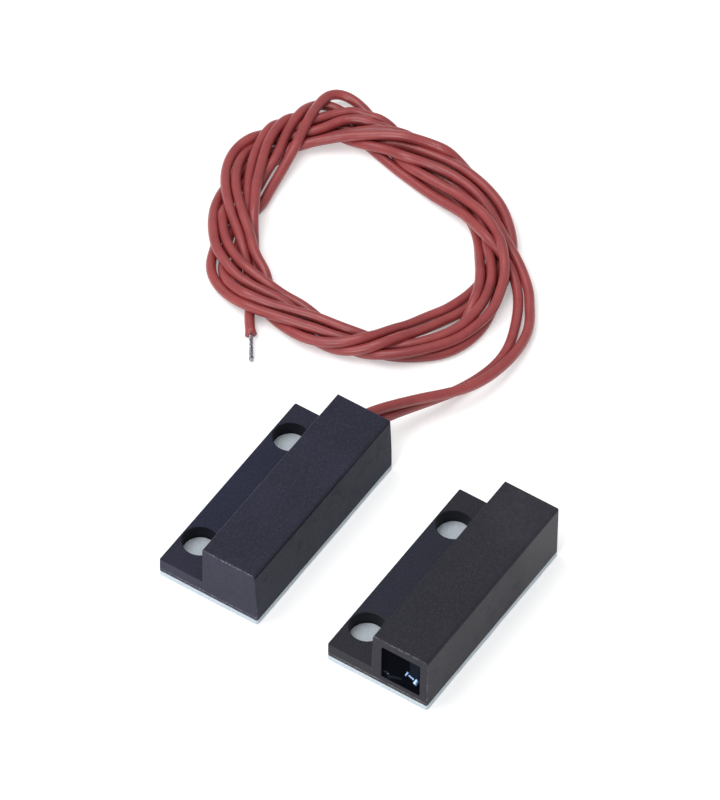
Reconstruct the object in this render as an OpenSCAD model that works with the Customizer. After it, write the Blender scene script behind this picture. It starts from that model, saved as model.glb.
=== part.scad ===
// Surface-mounted magnetic contact: a reed switch half with two leads and the magnet half that works it.
// X runs across, from the switch half to the magnet half. Y runs along the halves towards the lead exit.
// Z is up. The origin is the middle of the switch half's mounting face, on the surface it stands on.

/* [Moulded housings] */
// Width of a half across its base, flange and box together
shell_w = 16.4; // [15.5:0.1:20]
// Width of the screw flange beside the box
flange_w = 7.1; // [6.5:0.1:7.6]
// Thickness of the screw flange
flange_t = 2.4; // [1.6:0.1:3.5]
// Height of the box above the tape
shell_h = 9.2; // [8.6:0.1:12]
// Length of the switch half
switch_l = 34; // [33:0.1:40]
// Length of the magnet half
magnet_l = 33.3; // [32:0.1:40]
// Wall between the box's inside and the flange
inner_wall = 1.75; // [1:0.05:2.2]
// Wall on the box's outer side
outer_wall = 1.2; // [0.8:0.05:1.6]
// Top wall of the box
roof_t = 1.35; // [0.8:0.05:1.8]
// Bottom wall of the box
floor_t = 1.45; // [0.8:0.05:1.8]
// End wall at the closed end of each box
end_wall = 1.3; // [0.8:0.05:2]
// Lean of the switch box's outer side from bottom to top
switch_draft_out = 0.5; // [0:0.05:0.6]
// Lean of the switch box's flange side from bottom to top
switch_draft_in = 0.05; // [0:0.05:0.6]
// Lean of the magnet box's outer side from bottom to top
magnet_draft_out = 0.05; // [0:0.05:0.6]
// Lean of the magnet box's flange side from bottom to top
magnet_draft_in = 0.35; // [0:0.05:0.6]

/* [Edges of the mouldings] */
// Radius of the box's long top edge on the outer side
top_edge_out_r = 0.5; // [0.3:0.05:0.8]
// Radius of the box's long top edge on the flange side
top_edge_in_r = 0.22; // [0.1:0.01:0.4]
// Radius of the box's top edges at its two ends
top_end_r = 0.2; // [0.1:0.01:0.4]
// Radius of the upright edges of box and flange
corner_r = 0.3; // [0.1:0.05:0.6]
// Radius of the flange's long top edge
flange_edge_r = 0.2; // [0.1:0.01:0.4]
// Fillet where the flange meets the box
root_r = 0.3; // [0.1:0.05:0.5]
// Corner radius of the box's inside
cavity_r = 0.3; // [0.1:0.05:0.6]

/* [Screw holes] */
// Diameter of the screw holes
hole_d = 5.1; // [3:0.05:5.2]
// Distance of the hole centres from the flange's free edge
hole_in = 2.9; // [2.8:0.05:3.6]
// Chamfer of the holes' upper rim
hole_rim = 0.1; // [0.05:0.05:0.2]
// Near hole of the switch half, from its closed end
switch_hole_near = 5.9; // [4:0.05:7]
// Far hole of the switch half, from its open end
switch_hole_far = 5.45; // [4:0.05:7]
// Near hole of the magnet half, from its open end
magnet_hole_near = 5.6; // [4:0.05:7]
// Far hole of the magnet half, from its closed end
magnet_hole_far = 5.8; // [4:0.05:7]

/* [Adhesive tape] */
// Thickness of the foam tape
tape_t = 0.8; // [0.4:0.05:1.5]
// Thickness of the release liner under the tape
liner_t = 0.1; // [0.05:0.01:0.3]
// How far the liner stands out past the tape all round
liner_over = 0.05; // [0:0.01:0.3]

/* [Pair as it lies] */
// Gap between the two halves
pair_gap = 11.25; // [8:0.05:30]
// How far the magnet half is shifted along the switch half
pair_shift = 0.48; // [-2:0.01:2]

/* [Reed switch] */
// Outer diameter of the glass tube
glass_d = 2.3; // [1.8:0.05:2.6]
// Length of the glass tube
glass_l = 14.2; // [12:0.1:15]
// Bore of the glass tube between the seals
glass_bore = 1.6; // [1.3:0.05:1.7]
// Length of the solid seal at each end of the glass
seal_l = 2; // [1:0.1:2.5]
// Diameter of the reeds' round ends
reed_d = 0.5; // [0.4:0.01:0.6]
// Length of each reed outside the glass
reed_out = 3; // [2.6:0.1:3.5]
// Length of each reed's round end past its seal, inside the glass
stem_in = 0.5; // [0.3:0.05:1]
// Width of the flattened blades
blade_w = 1; // [0.6:0.05:1.1]
// Thickness of the flattened blades
blade_t = 0.2; // [0.15:0.01:0.25]
// Length over which the two blades face each other
blade_overlap = 1.2; // [0.6:0.1:2]
// Open gap between the blades
blade_gap = 0.12; // [0.1:0.01:0.2]
// Room round each reed where it passes its seal and its joint
reed_play = 0.07; // [0.06:0.005:0.1]
// Resin between the glass and the box's outer wall
glass_cover = 0.6; // [0.3:0.05:0.9]
// Distance from the closed end's inner face to the near reed's end
reed_from_end = 2.5; // [1.5:0.1:3]

/* [Leads] */
// Diameter of a lead over its insulation
lead_d = 1.48; // [1.2:0.01:1.55]
// Diameter of a lead's stranded conductor
core_d = 0.65; // [0.4:0.01:0.7]
// Length of the insulated leads inside the resin
lead_in = 4.5; // [3:0.1:5]
// Distance from the box's flange side wall to the middle of lead a
lead_a_in = 1.3; // [1:0.05:1.4]
// Height of lead a and of the reed switch above the box's inner floor
lead_a_up = 3.65; // [3.4:0.05:3.8]
// Sideways step from lead a to lead b at the exit
lead_b_step = 0.9; // [0.7:0.05:1.1]
// Downward step from lead a to lead b at the exit
lead_b_drop = 1.55; // [1.5:0.05:1.8]
// Room round each insulated lead in the resin
lead_play = 0.02; // [0.01:0.005:0.05]
// Radius of the bend in each stripped conductor
core_bend_r = 0.7; // [0.5:0.05:0.8]
// Diameter of the solder joints
solder_d = 1.5; // [1.4:0.05:1.7]
// Length of the solder joints
solder_l = 2; // [1.8:0.1:2.4]
// Solder left between a conductor's end and the reed
solder_web = 0.1; // [0.05:0.01:0.15]

/* [Resin and magnet] */
// Depth of the resin below the switch half's open end
switch_recess = 0.8; // [0.3:0.1:2]
// Depth of the resin's rim below the magnet half's open end
magnet_recess = 1.1; // [0.5:0.1:3]
// Hollow in the middle of the magnet half's resin
meniscus = 0.5; // [0.2:0.05:0.8]
// Width and height of the bar magnet
magnet_side = 5; // [4:0.1:5.6]
// Length of the bar magnet
magnet_bar_l = 25; // [20:0.5:27]
// Chamfer of the bar magnet's long edges
magnet_edge = 0.4; // [0.1:0.05:0.8]
// Resin between the bar magnet and the box's closed end
magnet_end_cover = 1; // [0.5:0.1:2]

/* [Coil of the leads] */
// Middle of the coil
coil_centre = [-18.4, 49];
// Outer radius of the coil
coil_outer_r = 22.6; // [21:0.1:24]
// Inner radius of the coil
coil_inner_r = 16; // [14:0.1:18]
// Height of the coil
coil_h = 3.3; // [3:0.1:4.5]
// Radius of the coil's rounded edges
coil_edge_r = 1.2; // [0.5:0.1:1.4]

/* [Hidden] */
$fn = 64;
lead_sides = 8;
cut = 1;

plastic = "#3a373e";
resin = "#161618";
insulation = "#a34a4b";
tinned = "#b9bbbd";
foam = "#e6ebee";
paper = "#f4f6f7";

base_z = tape_t + liner_t;
switch_at = [-shell_w / 2, -switch_l / 2, base_z];
magnet_at = [shell_w / 2 + pair_gap, pair_shift - switch_l / 2, base_z];

cavity_x0 = flange_w + inner_wall;
cavity_x1 = shell_w - outer_wall;
cavity_z0 = floor_t;
cavity_z1 = shell_h - roof_t;

reed_x = cavity_x1 - glass_cover - glass_d / 2;
reed_z = cavity_z0 + lead_a_up;
glass_y0 = end_wall + reed_from_end + reed_out;
glass_y1 = glass_y0 + glass_l;
glass_mid = (glass_y0 + glass_y1) / 2;
blade_off = (blade_gap + blade_t) / 2;
blade_reach = glass_l / 2 - seal_l + blade_overlap / 2;

resin_y = switch_l - switch_recess;
lead_start = resin_y - lead_in;
lead_a_x = cavity_x0 + lead_a_in;
lead_b_x = lead_a_x + lead_b_step;
lead_a_z = reed_z;
lead_b_z = lead_a_z - lead_b_drop;
joint_a_y = glass_y0 - reed_out + solder_l / 2;
joint_b_y = glass_y1 + reed_out - solder_l / 2;
core_stop = reed_d / 2 + reed_play + solder_web;

magnet_bar_x = (cavity_x0 + cavity_x1) / 2;
magnet_bar_z = (cavity_z0 + cavity_z1) / 2;
mouth_half = norm([cavity_x1 - cavity_x0, cavity_z1 - cavity_z0]) / 2;
meniscus_r = (mouth_half * mouth_half + meniscus * meniscus) / (2 * meniscus);

// The leads' own way outside the box, from the exit to the coil
lead_a_way = [[2.2, 18.6, 5.9], [3.2, 21, 5.5], [4.9, 24.1, 4.9], [6.9, 27.4, 4.2], [9, 30.5, 3.6],
              [10.4, 33.2, 3.1], [11.3, 36.2, 2.6], [11.7, 39, 2.2], [11.8, 42, 1.8], [11.5, 45.1, 1.4],
              [10.6, 48.4, 1.1], [9.2, 51.3, 0.9], [7.6, 53.8, 0.8], [5.7, 56.1, 0.8], [3.4, 58.2, 0.8],
              [0.8, 60.2, 0.9]];
lead_b_way = [[3, 18.6, 4.3], [3.9, 21.2, 3.8], [4.9, 24, 3.2], [6.1, 27, 2.5], [7.4, 30.2, 1.8],
              [8.5, 33.3, 1.1], [9.4, 36.2, 0.8], [10.1, 39, 0.8], [10.3, 41.8, 0.8], [9.9, 44.5, 0.8],
              [9, 47.1, 0.8], [7.7, 49.8, 0.8], [6.1, 52.4, 0.8], [4.1, 54.8, 0.8], [1.6, 57, 0.8]];
tip_way = [[-23.6, 28.8, 0.8], [-22.7, 27.5, 0.8], [-21.5, 25.6, 0.7], [-20.1, 23.6, 0.6],
           [-18.7, 21.6, 0.5]];

function unit(v) = v / norm(v);
function half_angle(a, b, c) = acos(unit(a - b) * unit(c - b)) / 2;
// Point where the arc in corner b touches the side that runs from b to a
function touch(a, b, c, r) = b + unit(a - b) * r / tan(half_angle(a, b, c));
function arc_centre(a, b, c, r) = b + unit(unit(a - b) + unit(c - b)) * r / sin(half_angle(a, b, c));

// Convex outline with a true arc in each corner that has a radius
module rounded_outline(points, radii) {
    n = len(points);
    function before(i) = points[(i + n - 1) % n];
    function after(i) = points[(i + 1) % n];
    polygon([for (i = [0:n - 1])
             for (k = radii[i] > 0 ? [0, 1] : [2])
             k == 0 ? touch(before(i), points[i], after(i), radii[i])
             : k == 1 ? touch(after(i), points[i], before(i), radii[i])
             : points[i]]);
    for (i = [0:n - 1])
        if (radii[i] > 0)
            translate(arc_centre(before(i), points[i], after(i), radii[i]))
                circle(r = radii[i]);
}

module rounded_rect(x0, y0, x1, y1, r) {
    rounded_outline([[x0, y0], [x1, y0], [x1, y1], [x0, y1]], [r, r, r, r]);
}

// A section drawn in X and Z, run along Y
module along_y(y0, y1) {
    translate([0, y1, 0])
        rotate([90, 0, 0])
            linear_extrude(y1 - y0)
                children();
}

// An outline drawn in Y and Z, run along X
module along_x(x0, x1) {
    translate([x0, 0, 0])
        rotate([90, 0, 90])
            linear_extrude(x1 - x0)
                children();
}

// A round bar along Y
module bar_y(x, z, y0, y1, d) {
    translate([x, y1, z])
        rotate([90, 0, 0])
            cylinder(d = d, h = y1 - y0);
}

// Section of the box, leaning in on both sides towards its top
module box_section(draft_in, draft_out) {
    rounded_outline([[flange_w, 0], [shell_w, 0], [shell_w - draft_out, shell_h],
                     [flange_w + draft_in, shell_h]],
                    [0, 0, top_edge_out_r, top_edge_in_r]);
}

// Section of the base: the flange, carried on under the box
module base_section(draft_out) {
    lean = draft_out * flange_t / shell_h;
    rounded_outline([[0, 0], [shell_w, 0], [shell_w - lean, flange_t], [0, flange_t]],
                    [0, 0, 0, flange_edge_r]);
}

// Fillet in the corner between flange and box
module root_section(draft_in) {
    lean = draft_in * flange_t / shell_h;
    translate([flange_w + lean, flange_t])
        difference() {
            translate([-root_r, -root_r])
                square([2 * root_r, 2 * root_r]);
            translate([-root_r, root_r])
                circle(r = root_r);
        }
}

module screw_hole(y) {
    translate([hole_in, y, -cut])
        cylinder(d = hole_d, h = flange_t + 2 * cut);
    translate([hole_in, y, flange_t - hole_rim])
        cylinder(d1 = hole_d, d2 = hole_d + 4 * hole_rim, h = 2 * hole_rim);
}

// Inside of a box, as a section run from y0 to y1
module cavity(y0, y1) {
    along_y(y0, y1)
        rounded_rect(cavity_x0, cavity_z0, cavity_x1, cavity_z1, cavity_r);
}

// One moulding: box and flange in one, with the screw holes and the box's inside
module shell(l, draft_in, draft_out, hole_near, hole_far, y0, y1) {
    difference() {
        union() {
            intersection() {
                along_y(0, l)
                    box_section(draft_in, draft_out);
                linear_extrude(shell_h)
                    rounded_rect(flange_w, 0, shell_w, l, corner_r);
                along_x(0, shell_w)
                    rounded_outline([[0, 0], [l, 0], [l, shell_h], [0, shell_h]],
                                    [0, 0, top_end_r, top_end_r]);
            }
            intersection() {
                along_y(0, l)
                    base_section(draft_out);
                linear_extrude(flange_t)
                    rounded_rect(0, 0, shell_w, l, corner_r);
            }
            along_y(corner_r, l - corner_r)
                root_section(draft_in);
        }
        cavity(y0, y1);
        screw_hole(hole_near);
        screw_hole(l - hole_far);
    }
}

// A sheet under one half, standing out past it by the given margin
module sheet(l, t, over) {
    linear_extrude(t)
        rounded_rect(-over, -over, shell_w + over, l + over, corner_r + over);
}

module switch_housing() {
    color(plastic)
        translate(switch_at)
            shell(switch_l, switch_draft_in, switch_draft_out, switch_hole_near, switch_hole_far,
                  end_wall, switch_l + cut);
}

module switch_tape() {
    color(foam)
        translate([switch_at[0], switch_at[1], liner_t])
            sheet(switch_l, tape_t, 0);
}

module switch_liner() {
    color(paper)
        translate([switch_at[0], switch_at[1], 0])
            sheet(switch_l, liner_t, liner_over);
}

// Glass tube with a bore between two seals that close on the reeds
module reed_glass() {
    color("#cfe3e0", 0.5)
        translate(switch_at)
            difference() {
                bar_y(reed_x, reed_z, glass_y0, glass_y1, glass_d);
                bar_y(reed_x, reed_z, glass_y0 + seal_l, glass_y1 - seal_l, glass_bore);
                bar_y(reed_x, reed_z, glass_y0 - cut, glass_y1 + cut, reed_d + 2 * reed_play);
            }
}

// One reed: a round end that leaves the glass and a flattened blade inside it.
// side is 1 for the reed that comes in at the near end and -1 for the other
module reed(side) {
    seal_face = glass_l / 2 - seal_l;
    translate([reed_x, glass_mid, reed_z])
        rotate([0, 0, side > 0 ? 0 : 180])
            union() {
                bar_y(0, 0, -glass_l / 2 - reed_out, stem_in - seal_face, reed_d);
                translate([blade_off - blade_t / 2, reed_play - seal_face, -blade_w / 2])
                    cube([blade_t, blade_reach - reed_play, blade_w]);
            }
}

module reed_blade_a() {
    color(tinned)
        translate(switch_at)
            reed(1);
}

module reed_blade_b() {
    color(tinned)
        translate(switch_at)
            reed(-1);
}

// Stripped conductor: from the insulation's end along Y, then across to the reed at joint_y
module core(x, z, joint_y) {
    dx = reed_x - x;
    dz = reed_z - z;
    reach = norm([dx, dz]) - core_stop;
    translate([x, 0, z])
        rotate([0, -atan2(dz, dx), 0])
            union() {
                bar_y(0, 0, joint_y + core_bend_r, lead_start, core_d);
                translate([core_bend_r, joint_y + core_bend_r, 0])
                    rotate([0, 0, 180])
                        rotate_extrude(angle = 90)
                            translate([core_bend_r, 0])
                                circle(d = core_d);
                translate([core_bend_r, joint_y, 0])
                    rotate([0, 90, 0])
                        cylinder(d = core_d, h = reach - core_bend_r);
            }
}

module lead_a_core() {
    color(tinned)
        translate(switch_at)
            core(lead_a_x, lead_a_z, joint_a_y);
}

module lead_b_core() {
    color(tinned)
        translate(switch_at)
            core(lead_b_x, lead_b_z, joint_b_y);
}

// Drop of solder round a reed's end, before anything is taken out of it
module solder_drop(y) {
    translate([reed_x, y, reed_z])
        rotate([90, 0, 0])
            rotate_extrude()
                intersection() {
                    rounded_rect(-solder_d / 2, -solder_l / 2, solder_d / 2, solder_l / 2, solder_d / 4);
                    translate([0, -solder_l])
                        square([solder_d, 2 * solder_l]);
                }
}

module reed_room(y0, y1) {
    bar_y(reed_x, reed_z, y0, y1, reed_d + 2 * reed_play);
}

module solder_joint_a() {
    color("silver")
        translate(switch_at)
            difference() {
                solder_drop(joint_a_y);
                reed_room(joint_a_y - solder_l / 2 - cut, joint_a_y + solder_l / 2 + cut);
                core(lead_a_x, lead_a_z, joint_a_y);
            }
}

module solder_joint_b() {
    color("silver")
        translate(switch_at)
            difference() {
                solder_drop(joint_b_y);
                reed_room(joint_b_y - solder_l / 2 - cut, joint_b_y + solder_l / 2 + cut);
                core(lead_b_x, lead_b_z, joint_b_y);
            }
}

// Resin that fills the switch box round everything in it
module switch_potting() {
    color(resin)
        translate(switch_at)
            difference() {
                cavity(end_wall, resin_y);
                bar_y(reed_x, reed_z, glass_y0, glass_y1, glass_d);
                reed_room(glass_y0 - reed_out - reed_play, glass_y1 + reed_out + reed_play);
                solder_drop(joint_a_y);
                solder_drop(joint_b_y);
                core(lead_a_x, lead_a_z, joint_a_y);
                core(lead_b_x, lead_b_z, joint_b_y);
                bar_y(lead_a_x, lead_a_z, lead_start, resin_y + cut, lead_d + 2 * lead_play);
                bar_y(lead_b_x, lead_b_z, lead_start, resin_y + cut, lead_d + 2 * lead_play);
            }
}

// Directions and rings of a tube that is swept along a list of points
function heading(way, i) =
    i == 0 ? unit(way[1] - way[0])
    : i == len(way) - 1 ? unit(way[i] - way[i - 1])
    : unit(unit(way[i + 1] - way[i]) + unit(way[i] - way[i - 1]));
function ring(centre, ahead, r) =
    let (side = unit(cross([0, 0, 1], ahead)), up = cross(ahead, side))
    [for (k = [0:lead_sides - 1])
     let (a = 360 * (k + 0.5) / lead_sides)
     centre + r * (cos(a) * side + sin(a) * up)];

module swept_tube(way, d) {
    n = len(way);
    points = [for (i = [0:n - 1]) each ring(way[i], heading(way, i), d / 2)];
    near_cap = [[for (k = [0:lead_sides - 1]) k]];
    far_cap = [[for (k = [lead_sides - 1:-1:0]) (n - 1) * lead_sides + k]];
    skin = [for (i = [0:n - 2])
            for (k = [0:lead_sides - 1])
            let (a = i * lead_sides + k, b = i * lead_sides + (k + 1) % lead_sides)
            each [[a, a + lead_sides, b], [b, a + lead_sides, b + lead_sides]]];
    polyhedron(points = points, faces = concat(near_cap, skin, far_cap));
}

// First stretch of a lead, straight out of the resin
function exit_way(x, z) =
    [for (y = [lead_start, resin_y, resin_y + 2 * lead_play]) switch_at + [x, y, z]];

module lead_a() {
    color(insulation)
        swept_tube(concat(exit_way(lead_a_x, lead_a_z), lead_a_way), lead_d);
}

module lead_b() {
    color(insulation)
        swept_tube(concat(exit_way(lead_b_x, lead_b_z), lead_b_way), lead_d);
}

module lead_coil() {
    color(insulation)
        translate([coil_centre[0], coil_centre[1], 0])
            rotate_extrude($fn = 96)
                rounded_rect(coil_inner_r, 0, coil_outer_r, coil_h, coil_edge_r);
}

module lead_tip() {
    color(tinned)
        swept_tube(tip_way, core_d);
}

module magnet_housing() {
    color(plastic)
        translate(magnet_at)
            shell(magnet_l, magnet_draft_in, magnet_draft_out, magnet_hole_near, magnet_hole_far,
                  -cut, magnet_l - end_wall);
}

module bar_magnet_body() {
    s = magnet_side / 2;
    e = magnet_edge;
    y1 = magnet_l - end_wall - magnet_end_cover;
    translate([magnet_bar_x, 0, magnet_bar_z])
        along_y(y1 - magnet_bar_l, y1)
            polygon([[e - s, -s], [s - e, -s], [s, e - s], [s, s - e], [s - e, s], [e - s, s],
                     [-s, s - e], [-s, e - s]]);
}

// Resin of the magnet half, hollow in the middle of its face where it has shrunk as it set
module magnet_potting() {
    color(resin)
        translate(magnet_at)
            difference() {
                cavity(magnet_recess, magnet_l - end_wall);
                bar_magnet_body();
                translate([magnet_bar_x, magnet_recess + meniscus - meniscus_r, magnet_bar_z])
                    sphere(r = meniscus_r, $fn = 128);
            }
}

module bar_magnet() {
    color("#6a6c70")
        translate(magnet_at)
            bar_magnet_body();
}

module magnet_tape() {
    color(foam)
        translate([magnet_at[0], magnet_at[1], liner_t])
            sheet(magnet_l, tape_t, 0);
}

module magnet_liner() {
    color(paper)
        translate([magnet_at[0], magnet_at[1], 0])
            sheet(magnet_l, liner_t, liner_over);
}

switch_housing();
switch_tape();
switch_liner();
reed_glass();
reed_blade_a();
reed_blade_b();
solder_joint_a();
solder_joint_b();
lead_a_core();
lead_b_core();
switch_potting();
lead_a();
lead_b();
lead_coil();
lead_tip();
magnet_housing();
magnet_potting();
bar_magnet();
magnet_tape();
magnet_liner();
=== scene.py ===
"""Looks of a surface-mounted magnetic contact: the switch half with its coil of two leads, and the magnet
half beside it.

Lengths are in millimetres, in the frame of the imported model; meshes are made in metres.
"""
import math

import bpy
import numpy as np
from mathutils import Matrix


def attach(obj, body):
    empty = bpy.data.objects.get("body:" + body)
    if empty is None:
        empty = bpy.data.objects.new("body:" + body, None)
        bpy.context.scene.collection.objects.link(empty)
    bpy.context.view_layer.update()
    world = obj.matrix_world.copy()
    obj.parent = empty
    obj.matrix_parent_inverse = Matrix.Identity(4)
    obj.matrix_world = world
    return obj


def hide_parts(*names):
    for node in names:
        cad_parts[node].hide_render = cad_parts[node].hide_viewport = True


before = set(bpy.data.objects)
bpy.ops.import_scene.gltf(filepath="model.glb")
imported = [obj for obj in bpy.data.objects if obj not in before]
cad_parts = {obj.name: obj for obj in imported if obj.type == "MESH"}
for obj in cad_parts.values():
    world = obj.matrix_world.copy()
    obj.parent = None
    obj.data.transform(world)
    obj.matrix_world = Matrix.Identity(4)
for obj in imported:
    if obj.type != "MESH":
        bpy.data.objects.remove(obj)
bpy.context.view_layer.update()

MM = 0.001
UP = np.array([0.0, 0.0, 1.0])

# The two halves, as in the part's source: heights, then each half's ends in x and y, the x of the box's face
# above the flange, and the middles of the screw holes
LINER_TOP, TAPE_TOP, FLANGE_TOP, BOX_TOP = 0.1, 0.9, 3.3, 10.1
SWITCH = {"x": (-8.2, 8.2), "y": (-17.0, 17.0), "step": -1.1, "holes": [(-5.3, 11.55), (-5.3, -11.1)]}
MAGNET = {"x": (19.45, 35.85), "y": (-16.52, 16.78), "step": 26.55,
          "holes": [(22.35, 10.98), (22.35, -10.92)]}

# Camera: FOCAL_PX is its focal length in pixels of an image that is IMAGE_W pixels wide
IMAGE_W = 720
SENSOR_W = 36.0
AZIMUTH, ELEVATION, ROLL = math.radians(32.71), math.radians(50.01), 0.016
DISTANCE = 1500.0
FOCAL_PX = 10673.1
TARGET = np.array([-1.995, 24.219, 0.9])
CLIP = 0.05, 20.0                             # in metres


def make_camera():
    """The camera looks along d, from azimuth and elevation; its right and up are turned about d by roll."""
    d = np.array([-math.sin(AZIMUTH) * math.cos(ELEVATION), math.cos(AZIMUTH) * math.cos(ELEVATION),
                  -math.sin(ELEVATION)])
    level = np.array([math.cos(AZIMUTH), math.sin(AZIMUTH), 0.0])
    above = np.cross(level, d)
    right = level * math.cos(ROLL) + above * math.sin(ROLL)
    up = above * math.cos(ROLL) - level * math.sin(ROLL)
    data = bpy.data.cameras.new("camera")
    data.sensor_fit = "HORIZONTAL"
    data.sensor_width = SENSOR_W
    data.lens = SENSOR_W * FOCAL_PX / IMAGE_W
    data.clip_start, data.clip_end = CLIP
    camera = bpy.data.objects.new("camera", data)
    bpy.context.scene.collection.objects.link(camera)
    place = Matrix([[*row] for row in np.c_[right, up, -d]]).to_4x4()
    place.translation = (TARGET - d * DISTANCE) * MM
    camera.matrix_world = place
    bpy.context.scene.camera = camera


make_camera()

# The two leads
LEAD_D = 1.48
COIL_MID = np.array([-18.34, 49.01])
# The coil's turns are laid out as they are seen, on the level SEEN_Z: a point at another height z is moved
# against SEEN_SHIFT by the difference, along the line of sight
SEEN_Z = 1.6
SEEN_SHIFT = 0.839 * np.array([-0.540, 0.841])
# Degrees between the points of a turn
STEP = 2.5

# The leads' own way outside the box, from the resin to the coil, as in the part's source
A_WAY = [[1.95, 11.7, 6.0], [1.95, 16.2, 6.0], [1.95, 16.24, 6.0], [2.2, 18.6, 5.9], [3.2, 21, 5.5],
         [4.9, 24.1, 4.9], [6.9, 27.4, 4.2], [9, 30.5, 3.6], [10.4, 33.2, 3.1], [11.3, 36.2, 2.6],
         [11.7, 39, 2.2], [11.8, 42, 1.8], [11.5, 45.1, 1.4], [10.6, 48.4, 1.1]]
B_WAY = [[2.85, 11.7, 4.45], [2.85, 16.2, 4.45], [2.85, 16.24, 4.45], [3, 18.6, 4.3], [3.9, 21.2, 3.8],
         [4.9, 24, 3.2], [6.1, 27, 2.5], [7.4, 30.2, 1.8], [8.5, 33.3, 1.1], [9.4, 36.2, 0.8],
         [10.1, 39, 0.8], [10.3, 41.8, 0.8], [9.9, 44.5, 0.8], [9, 47.1, 0.8]]

# The turns of each lead in the coil: angle and radius about COIL_MID, the angle counted on through the turns
A_TURNS = """
    0:27.9, 10:26.1, 15:24.7, 20:23.4, 25:22.15, 30:21.15, 35:20.4, 40:19.8, 45:19.4, 50:19.1, 55:18.85,
    60:18.6, 70:18, 75:17.7, 80:17.35, 85:17.05, 90:16.8, 95:16.56, 100:16.42, 105:16.6, 110:16.95,
    115:17.15, 120:17.4, 125:17.9, 130:18.85, 135:19.9, 140:21.1, 145:22.52, 150:23.7, 155:24.04, 160:23.23,
    165:22.13, 170:21.03, 175:19.99, 180:19, 185:18.11, 190:17.41, 195:16.85, 200:16.5, 205:16.5, 210:16.7,
    220:17.35, 230:18.25, 235:18.55, 240:18.9, 245:19.35, 250:19.5, 255:19.2, 260:19, 265:19.3, 270:19.65,
    275:20.1, 280:20.4, 285:20.45, 290:20.3, 295:20, 300:19.4, 305:18.9, 310:18.5, 315:18.05, 320:17.75,
    325:17.8, 330:17.65, 335:17.62, 340:17.8, 345:18.12, 350:18.3, 355:18.58, 360:18.83, 370:19.3, 380:19.6,
    390:19.6, 400:19.3, 410:19, 420:18.8, 430:18.35, 440:18.45, 450:18.95, 460:19.75, 465:20.19, 470:20.4,
    475:20.33, 480:20.12, 485:19.85, 490:19.6, 495:19.45, 500:19.4, 505:19.75, 510:19.95, 515:19.5, 520:19,
    530:19, 540:19.3, 550:19.8, 560:20.1, 570:19.5, 575:19.15, 580:18.7, 585:18.15, 590:17.55, 595:16.95,
    600:16.4, 605:16, 610:15.7, 620:15.4, 630:15.2, 640:16, 650:17.6, 660:19.3, 670:21.9, 675:22.75,
    680:23.4, 685:23.95, 690:24.5, 695:24.75, 700:24.7, 705:24.45, 710:23.95, 715:23.3, 720:22.6, 725:22,
    730:21.7, 740:21.5, 750:21.45, 760:21.25, 770:20.95, 780:20.4, 790:19.85, 795:19.63, 800:19.31,
    805:19.07, 810:18.84, 815:18.63, 820:18.55, 825:18.45, 830:18.15, 835:18.2, 840:19.3, 845:21.7, 850:24,
    857:25.85, 860:25.6, 865:24.55, 870:22.82, 875:21.1, 880:19.65, 885:18.8, 890:18.25, 895:17.75,
    900:17.35, 905:17.2, 910:17.3, 920:18.6, 930:20.4, 935:20.4, 940:20.85, 945:21.6, 950:22.1, 955:22.2,
    960:21.95, 965:21.45, 970:20.85, 975:20.2, 980:19.6, 985:19.1, 990:18.7, 995:18.45, 1000:18.35,
    1005:18.4, 1010:18.7, 1015:19.1, 1020:19.6, 1030:20.6, 1040:21.1, 1050:21.45, 1055:21.65, 1060:21.85,
    1065:21.85, 1070:21.62, 1080:21, 1085:20.65, 1090:20.25, 1095:19.7, 1100:19.05, 1105:18.5, 1110:18.05,
    1115:17.7, 1120:17.45, 1130:17.2, 1140:17.1, 1145:16.95, 1150:16.6, 1160:16.1, 1170:16.4, 1175:17.3,
    1180:18.9, 1185:19.8, 1190:20.31, 1195:21.23, 1200:21.92, 1205:22.3, 1210:22.2, 1215:21.45, 1220:20.95,
    1225:20.9, 1230:20.7, 1235:21.5, 1240:22.4, 1245:23.1, 1250:22.8, 1260:21.25, 1265:20.2, 1270:18.98,
    1275:17.92, 1280:17.02, 1285:16.34, 1290:15.77, 1295:15.55, 1300:15.43, 1310:15.2, 1320:15.3, 1330:17
"""
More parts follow.
